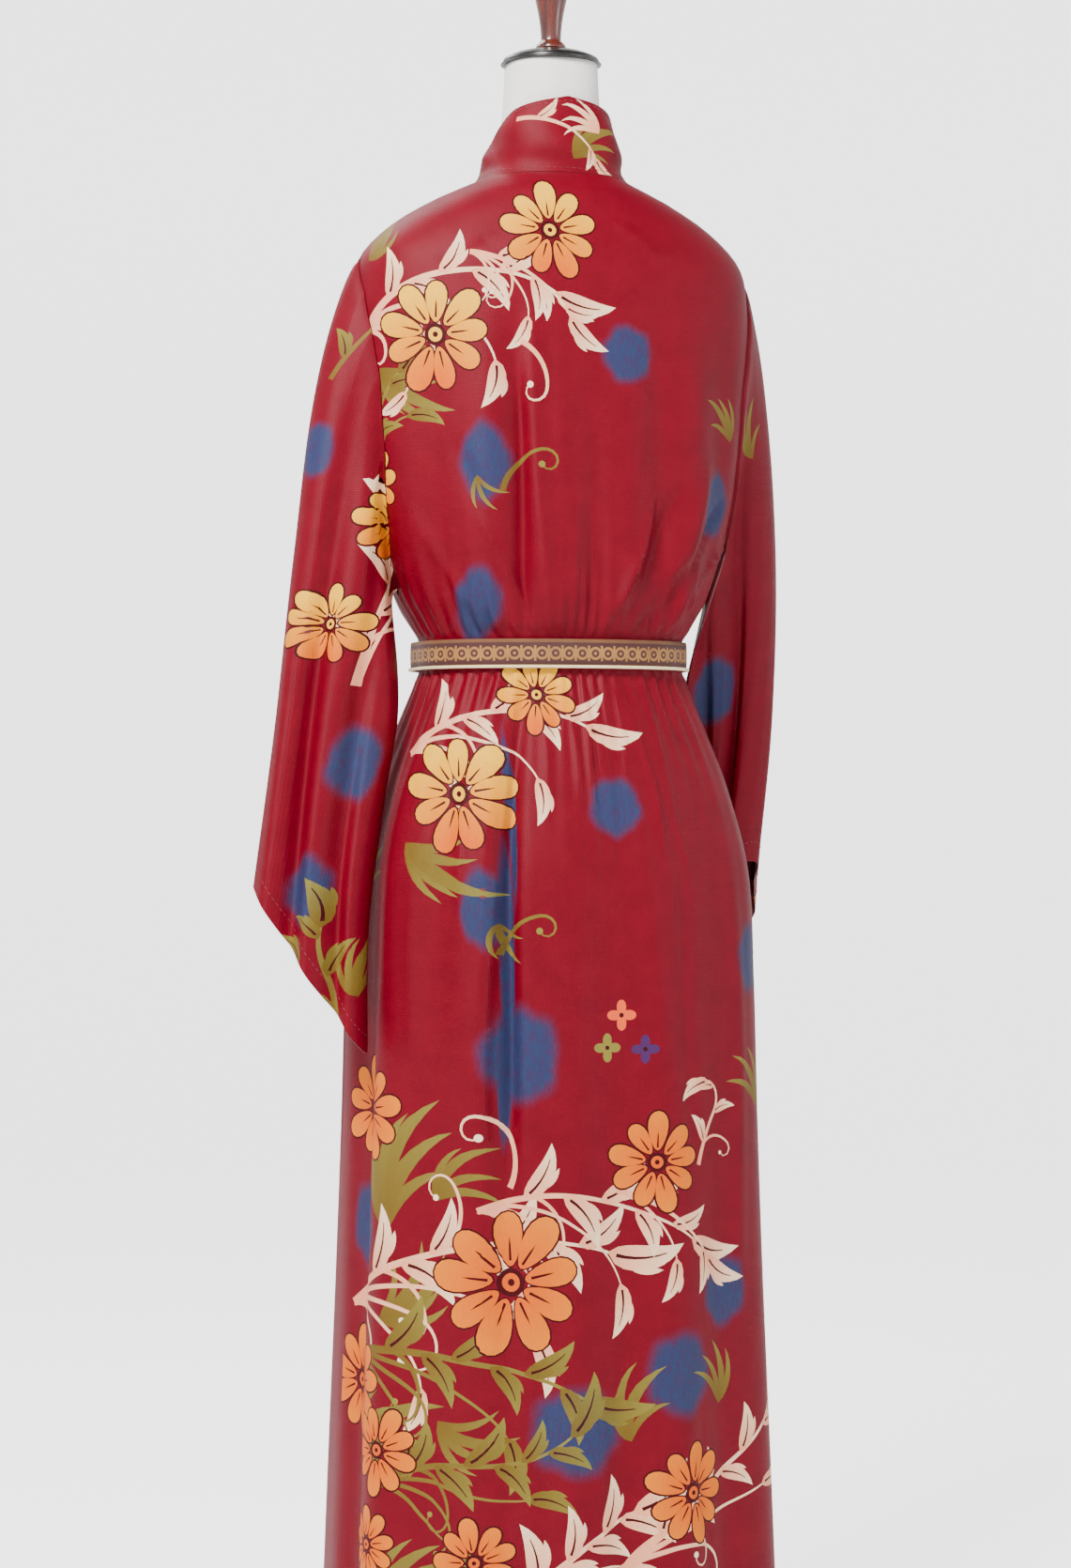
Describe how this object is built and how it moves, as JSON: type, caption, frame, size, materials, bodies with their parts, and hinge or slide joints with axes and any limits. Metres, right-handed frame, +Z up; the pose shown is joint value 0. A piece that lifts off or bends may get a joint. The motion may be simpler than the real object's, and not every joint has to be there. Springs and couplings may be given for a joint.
{
  "type": "kimono robe on a dress form",
  "caption": "Long wrapped robe with wide hanging sleeves, a standing neckband and a narrow tied belt, shown on a limbless dress form with a turned finial and a round stand.",
  "frame": {"origin": "on the floor at the centre of the stand's round base, under the pole", "axes": "+Z up along the pole, +X towards the wearer's left, +Y towards the back of the robe"},
  "size_m": [0.5344, 0.3312, 1.7397],
  "materials": {
    "printed_satin": "lightweight burgundy satin with a printed flower and leaf scroll",
    "sash_weave": "woven tan and brown band with a cream corded edge",
    "form_linen": "plain off-white linen stretched over the form",
    "black_lacquer": "satin black lacquer",
    "turned_mahogany": "dark red-brown turned hardwood, polished"
  },
  "bodies": {
    "root": {"back_panel": "printed_satin", "front_left": "printed_satin", "front_right": "printed_satin", "sleeve_left": "printed_satin", "sleeve_right": "printed_satin", "neckband": "printed_satin", "belt": "sash_weave", "belt_knot": "sash_weave", "belt_tail_left": "sash_weave", "belt_tail_right": "sash_weave", "form_torso": "form_linen", "form_neck_cap": "black_lacquer", "form_finial": "turned_mahogany", "stand_pole": "turned_mahogany", "stand_base": "turned_mahogany"}
  },
  "joints": []
}
